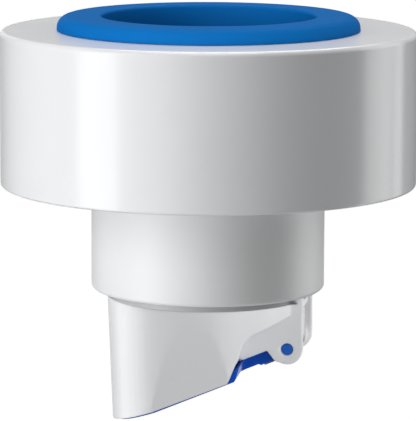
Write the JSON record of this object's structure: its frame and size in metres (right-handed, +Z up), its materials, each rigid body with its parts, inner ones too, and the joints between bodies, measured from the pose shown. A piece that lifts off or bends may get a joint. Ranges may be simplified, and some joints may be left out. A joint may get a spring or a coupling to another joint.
{
  "type": "odour-proof drain connector",
  "caption": "Drum-shaped connector for a floor drain: silicone seal ring on top for a waste pipe, collar below, and a slanted valve tube closed by a sprung flap.",
  "frame": {"origin": "centre of the drum's flat underside, on the axis, at the top end of the collar that goes into the floor pipe", "axes": "+Z up along the pipe's axis, out of the mouth of the seal ring; +X towards the flap's hinge; +Y along the hinge pin, away from the side that shows it"},
  "size_m": [0.08, 0.08, 0.0787],
  "materials": {
    "white_abs": "gloss white moulded ABS",
    "valve_abs": "satin white moulded ABS",
    "blue_silicone": "satin blue silicone",
    "blue_abs": "royal blue moulded ABS",
    "pin_blue": "blue acetal",
    "grey_rubber": "grey moulded rubber",
    "black_rubber": "black EPDM",
    "stainless": "stainless steel"
  },
  "bodies": {
    "housing": {"drum_shell": "white_abs", "seal_ring": "blue_silicone", "pipe_sleeve": "white_abs", "sleeve_screws": "stainless", "base_body": "white_abs", "base_o_ring": "black_rubber", "floor_gasket": "black_rubber", "sleeve_gasket": "black_rubber", "tube_gasket": "black_rubber", "valve_tube": "valve_abs", "collar_ring": "grey_rubber", "torsion_spring": "stainless"},
    "flap_body": {"flap": "blue_abs", "flap_seal": "blue_silicone", "seal_retainer": "blue_abs", "retainer_rivet": "stainless", "hinge_pin": "pin_blue"}
  },
  "joints": [
    {"name": "flap_hinge", "type": "hinge", "parent": "housing", "child": "flap_body", "pos_m": [0.01655, 0, -0.03038], "axis": [0, -1, 0], "range_deg": [0, 75], "stiffness_Nm_per_rad": 0.0008, "springref_deg": -114.59, "deforming": ["torsion_spring"]}
  ]
}
